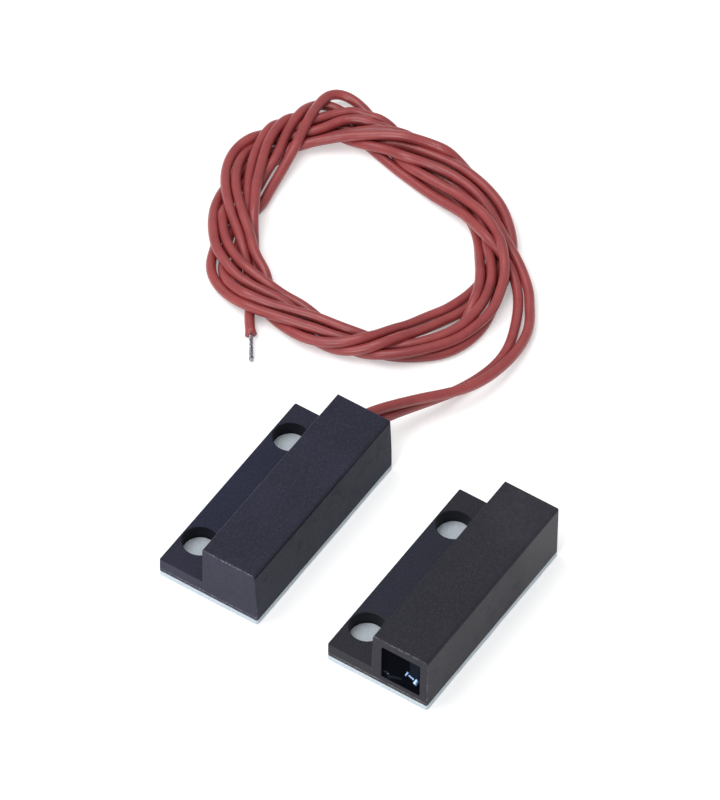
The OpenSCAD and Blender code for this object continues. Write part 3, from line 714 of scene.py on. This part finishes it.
for node, finish in CAD_FINISHES.items():
    paint(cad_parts[node], finish)

# Resin in the magnet's mouth: the opening, and x, z of the ends of a ridge of resin that catches the light
# and of the corners of a crease where the resin crept up the walls
MOUTH_X, MOUTH_Z, MOUTH_Y = (28.31, 34.64), (2.36, 8.74), MAGNET["y"][0]
RIDGE = (31.93, 4.3), (33.55, 3.58)
RIDGE_WIDTHS = 0.5, 0.2, 0.62                 # of its upper flank: at one end, between, at the other end
RIDGE_SLOPE, RIDGE_FADE = 0.87, 0.7
CREASE = (28.55, 3.1), (29.3, 2.55), (31.0, 2.85)
CREASE_WIDTH, CREASE_HEIGHT = 0.07, 0.04
# The patch above the ridge, right of PATCH_X, gets a thin coat and a painted dark bluish reflection
PATCH_X, PATCH_GLOSS_AND_SHEEN = 32.3, 0.08


def smooth_step(t):
    """0 below 0 and 1 above 1, with a cubic between."""
    t = np.clip(t, 0, 1)
    return t * t * (3 - 2 * t)


def away(x, z, line):
    """Distance of the points (x, z) from a line through the given corners."""
    best = np.full(np.shape(x), np.inf)
    for (ax, az), (bx, bz) in zip(line, line[1:]):
        share = ((x - ax) * (bx - ax) + (z - az) * (bz - az)) / ((bx - ax) ** 2 + (bz - az) ** 2)
        share = np.clip(share, 0, 1)
        best = np.minimum(best, np.hypot(x - ax - share * (bx - ax), z - az - share * (bz - az)))
    return best


def window(s, start, end, rise, fall):
    """0 outside start and end and 1 within, with smooth steps as long as rise and fall inside the ends."""
    return smooth_step((s - start) / rise) * smooth_step((end - s) / fall)


def ridge(x, z):
    """Width of the ridge's upper flank at (x, z), and the distance q across the ridge. With s along it, the
    width is the largest of three windows of s: one round each end, and a narrower one between them."""
    (x0, z0), (x1, z1) = RIDGE
    long = math.hypot(x1 - x0, z1 - z0)
    s = ((x - x0) * (x1 - x0) + (z - z0) * (z1 - z0)) / long
    q = ((z - z0) * (x1 - x0) - (x - x0) * (z1 - z0)) / long
    shares = (window(s, -0.34, 0.3, 0.14, 0.2), window(s, -0.1, long, 0.1, 0.1),
              window(s, long - 0.62, long + 0.36, 0.2, 0.14))
    return np.maximum.reduce([width * share for width, share in zip(RIDGE_WIDTHS, shares)]), q


def block(name, front, rear):
    """A closed skin from two square grids of points, with walls between their rims."""
    steps = len(front)
    i, j = np.meshgrid(np.arange(steps - 1), np.arange(steps - 1), indexing="ij")
    a = i * steps + j
    quads = np.stack([a, a + steps, a + steps + 1, a + 1], -1).reshape(-1, 4)
    n, last = steps * steps, steps - 1
    up, down = np.arange(steps), np.arange(steps)[::-1]
    rim = np.r_[up * steps, last * steps + up[1:], down[1:] * steps + last, down[1:-1]]
    following = np.roll(rim, -1)
    walls = np.stack([rim, rim + n, following + n, following], -1)
    points = np.r_[front.reshape(-1, 3), rear.reshape(-1, 3)]
    return add_mesh(name, points, np.r_[quads, quads[:, ::-1] + n, walls].tolist())


def mouth_resin(steps=140, rim=0.12, deep=0.9, least=0.05, back=1.25):
    """A bowl of resin: with u and v from -1 to 1 over the mouth, its depth is rim + deep (1 - u^8)(1 - v^8),
    less the ridge, whose upper flank falls at a fixed slope and whose lower flank fades out as a Gaussian,
    and less the crease. A point attribute is 1 on the upper flank, and lower on the crease and on the patch
    above the ridge; it gives the resin its coat and gloss, and a painted dark bluish reflection on the
    crease and the patch."""
    x, z = np.meshgrid(np.linspace(*MOUTH_X, steps), np.linspace(*MOUTH_Z, steps), indexing="ij")
    u = 2 * (x - MOUTH_X[0]) / (MOUTH_X[1] - MOUTH_X[0]) - 1
    v = 2 * (z - MOUTH_Z[0]) / (MOUTH_Z[1] - MOUTH_Z[0]) - 1
    bowl = (1 - np.abs(u) ** 8) * (1 - np.abs(v) ** 8)
    wide, q = ridge(x, z)
    raised = RIDGE_SLOPE * np.where(q > 0, np.maximum(wide - q, 0), wide * np.exp(-(q / RIDGE_FADE) ** 2))
    fold = np.exp(-away(x, z, CREASE) ** 2 / (2 * CREASE_WIDTH ** 2))
    depth = np.maximum(rim + deep * bowl - raised - CREASE_HEIGHT * fold, least)
    made = block("magnet_resin_skin", np.stack([x, MOUTH_Y + depth, z], -1),
                 np.stack([x, np.full_like(x, MOUTH_Y + back), z], -1))
    flank = (wide > 0.02) * (q > -0.12) * (q < wide + 0.05) * 1.0
    # the patch: a thin coat and a painted dark bluish reflection
    patch = smooth_step((x - PATCH_X) / 0.12) * smooth_step((q - wide) / 0.2) * bowl * PATCH_GLOSS_AND_SHEEN
    gloss_and_painted_sheen = np.clip(np.maximum.reduce([flank, fold * 0.5, patch]), 0, 1)
    layer = made.data.attributes.new("gloss_and_painted_sheen", "FLOAT", "POINT")
    layer.data.foreach_set("value", np.r_[gloss_and_painted_sheen.ravel(), np.zeros(steps * steps)])
    return made


dress(mouth_resin(), mouth_finish())

# The leads, coiled
LEAD_SIDES = 20
WIRE_D, WIRES, WIRE_SIDES = 0.19, 6, 8        # of the bare strands; one more wire runs in their middle
TWIST = 0.2                                   # turns of the strands for each millimetre
WIRE_STEP = 0.2                               # between their rings
A_BARE = 4.4                                  # how far lead a's strands stand out of its hidden end
LOWEST_STRANDS = 0.4                          # least height of their middle


def tube(name, line, radius):
    """A round tube along a line, with its length in millimetres and the turn round it as UV."""
    s = lengths(line)
    n, k = np.meshgrid(np.arange(len(line) - 1), np.arange(LEAD_SIDES), indexing="ij")
    u = np.stack([s[n], s[n], s[n + 1], s[n + 1]], -1)
    v = np.stack([k, k + 1, k + 1, k], -1) / LEAD_SIDES
    uv = np.r_[np.stack([u, v], -1).reshape(-1, 2), np.zeros((2 * LEAD_SIDES, 2))]
    return add_mesh(name, swept(line, radius, LEAD_SIDES), ring_faces(len(line), LEAD_SIDES), uv)


def ragged(line, reach, seed):
    """Radius at each ring and side of an insulation whose end is torn: over its last millimetres, as many as
    reach, it flares a little, and its rim is uneven by two sine waves round it."""
    left = lengths(line)[-1] - lengths(line)
    near = np.clip(1 - left / reach, 0, 1)[:, None]
    a = 2 * np.pi * np.arange(LEAD_SIDES) / LEAD_SIDES
    rim = 0.10 * np.sin(2 * a + seed) + 0.06 * np.sin(5 * a + 2 * seed)
    return LEAD_D / 2 * (1 + near ** 2 * (0.06 + rim))


def strands(name, line, flare):
    """Fine wires twisted round a middle one: wire k runs at the angle 2 pi (k / WIRES + TWIST s) round the
    line, a wire's thickness from it, and opens out by about the share flare towards its end."""
    s = lengths(line)
    side, up = frames(line)
    parts = [(swept(line, WIRE_D / 2, WIRE_SIDES), len(line), WIRE_SIDES)]
    for k in range(WIRES):
        a = 2 * np.pi * (k / WIRES + TWIST * s)
        out = WIRE_D * (1 + flare * (s / s[-1]) ** 3 * (1 + 0.5 * math.sin(3.0 * k)))
        wire = line + out[:, None] * (np.cos(a)[:, None] * side + np.sin(a)[:, None] * up)
        parts.append((swept(wire, WIRE_D / 2, WIRE_SIDES), len(line), WIRE_SIDES))
    return add_mesh(name, *joined(parts))


def lead_line(*runs):
    """Middle line of a lead through its runs of points, even and softened."""
    return soften(evenly(np.concatenate(runs), LEAD_STEP), bell(4, 1.3))


(a_angle, a_coil), (b_angle, b_coil) = settle()
a_line = lead_line(A_WAY, a_coil[a_angle >= JOIN])
b_line = lead_line(B_WAY, b_coil[(b_angle >= JOIN) & (b_angle <= B_LEAVES)], B_TAIL)
red_a = tube("lead_a_insulation", a_line, ragged(a_line, reach=1.0, seed=0.4))
red_b = tube("lead_b_insulation", b_line, ragged(b_line, reach=1.2, seed=1.1))
a_ahead = unit(a_line[-1:] - a_line[-4:-3])
a_tip = evenly(np.r_[a_line[-6:-5], a_line[-1:], a_line[-1:] + A_BARE / 2 * a_ahead,
                     a_line[-1:] + A_BARE * a_ahead], WIRE_STEP)
a_tip[:, 2] = np.maximum(a_tip[:, 2], LOWEST_STRANDS)
b_tip = evenly(np.r_[b_line[-4:-3], b_line[-1:], B_TIP], WIRE_STEP)
tin_b = strands("lead_b_strands", b_tip, flare=0.35)
tin_a = strands("lead_a_strands", a_tip, flare=0.3)
dress(red_a, red, replaces=["lead_a", "lead_coil"])
dress(red_b, red, replaces=["lead_b", "lead_coil"])
dress(tin_b, tin, replaces=["lead_tip"])
dress(tin_a, tin)

# Tapes and liners
SHEET_CORNER = 0.4
LINER_OVER = 0.05                             # how far a liner stands out past its tape
CORNER_POINTS, EDGE_POINTS, LEVELS = 7, 360, 7


def rounded(x0, y0, x1, y1):
    """Outline of a rectangle with quarter circles at its corners, and its first point again at the end."""
    corners = []
    for x, y, start in ((x1, y1, 0), (x0, y1, 90), (x0, y0, 180), (x1, y0, 270)):
        a = np.radians(start + np.linspace(0, 90, CORNER_POINTS))
        in_x, in_y = np.sign((x0 + x1) / 2 - x) * SHEET_CORNER, np.sign((y0 + y1) / 2 - y) * SHEET_CORNER
        corners.append(np.c_[x + in_x + SHEET_CORNER * np.cos(a), y + in_y + SHEET_CORNER * np.sin(a)])
    return np.concatenate([*corners, corners[0][:1]])


def sheet(name, half, over, low, high, wave, bulge, seed):
    """A cut sheet as large as its half, and over more all round. Its outline, a rounded rectangle, is moved
    along its own outward direction by a few long sine waves, and its edge bulges by a share of a half sine
    over its thickness."""
    (x0, x1), (y0, y1) = half["x"], half["y"]
    outline = rounded(x0 - over, y0 - over, x1 + over, y1 + over)
    s = lengths(outline)
    t = np.linspace(0, s[-1], EDGE_POINTS + 1)[:-1]
    ring = np.stack([np.interp(t, s, outline[:, c]) for c in range(2)], 1)
    ahead = unit(np.roll(ring, -1, 0) - np.roll(ring, 1, 0))
    out = np.c_[ahead[:, 1], -ahead[:, 0]]
    u = t / s[-1] * 2 * np.pi
    shift = wave * (np.sin(7 * u + seed) + 0.6 * np.sin(17 * u + 2 * seed) + 0.4 * np.sin(43 * u + 3 * seed))
    level = np.linspace(0, 1, LEVELS)
    rise = bulge * (np.sin(np.pi * level) - 0.5)
    xy = ring[None] + (shift[None, :, None] + rise[:, None, None]) * out[None]
    z = np.broadcast_to((low + (high - low) * level)[:, None, None], xy.shape[:2] + (1,))
    points = np.concatenate([xy, z], 2).reshape(-1, 3)
    return add_mesh(name, points, ring_faces(LEVELS, EDGE_POINTS), smooth=False)


for name, half, seed in (("switch", SWITCH, 0.7), ("magnet", MAGNET, 2.9)):
    cut_foam = sheet(f"{name}_foam", half, 0.0, LINER_TOP, TAPE_TOP, wave=0.03, bulge=0.05, seed=seed)
    dress(cut_foam, foam, replaces=[f"{name}_tape"])
    cut_paper = sheet(f"{name}_paper", half, LINER_OVER, 0.0, LINER_TOP, wave=0.02, bulge=0.0, seed=seed + 1)
    dress(cut_paper, paper, replaces=[f"{name}_liner"])

# Floor, lamps and world
FLOOR_REACH, FLOOR_Z, FLOOR_GLOW = 3000, -0.02, 0.3


def floor():
    """White table: lit by the lamps, with a little light of its own for rays that show it as background."""
    corners = [(x * FLOOR_REACH, y * FLOOR_REACH, FLOOR_Z) for x, y in ((-1, -1), (1, -1), (1, 1), (-1, 1))]
    made = add_mesh("floor", corners, [[0, 1, 2, 3]], smooth=False)
    f = Finish("floor", Base_Color=rgb(238, 238, 238), Emission_Color=rgb(255, 255, 255), Roughness=0.9,
               Specular_IOR_Level=0.0)
    camera, glossy, through_glass = (f.node("ShaderNodeLightPath", {}, output=f"Is {kind} Ray")
                                     for kind in ("Camera", "Glossy", "Transmission"))
    f.give(Emission_Strength=(camera + glossy + through_glass).at_most(1.0) * FLOOR_GLOW)
    paint(made, f)


def lamp(name, place, aim, size, power, tint=(1.0, 1.0, 1.0)):
    """A square soft lamp that faces its aim, with its power in watts."""
    data = bpy.data.lights.new(name, "AREA")
    data.shape, data.size, data.energy, data.color = "SQUARE", size * MM, power, tint
    made = bpy.data.objects.new(name, data)
    bpy.context.scene.collection.objects.link(made)
    back = unit(np.array(place, float) - np.array(aim, float))
    side = unit(np.cross([0.0, 1.0, 0.001], back))
    made.matrix_world = Matrix([[*row] for row in np.c_[side, np.cross(back, side), back]]).to_4x4()
    made.matrix_world.translation = np.array(place) * MM


def backdrop(grey):
    """An even grey world round the scene."""
    world = bpy.data.worlds.new("studio")
    bpy.context.scene.world = world
    world.use_nodes = True
    world.node_tree.nodes["Background"].inputs["Color"].default_value = (grey, grey, grey, 1.0)
    bpy.context.scene.view_settings.view_transform = "Standard"


floor()
lamp("overhead", (-250, -150, 900), aim=(0, 20, 0), size=700, power=5.0)
lamp("front", (100, -800, 350), aim=(0, 0, 5), size=200, power=3.0, tint=(0.95, 0.98, 1.0))
backdrop(0.6)
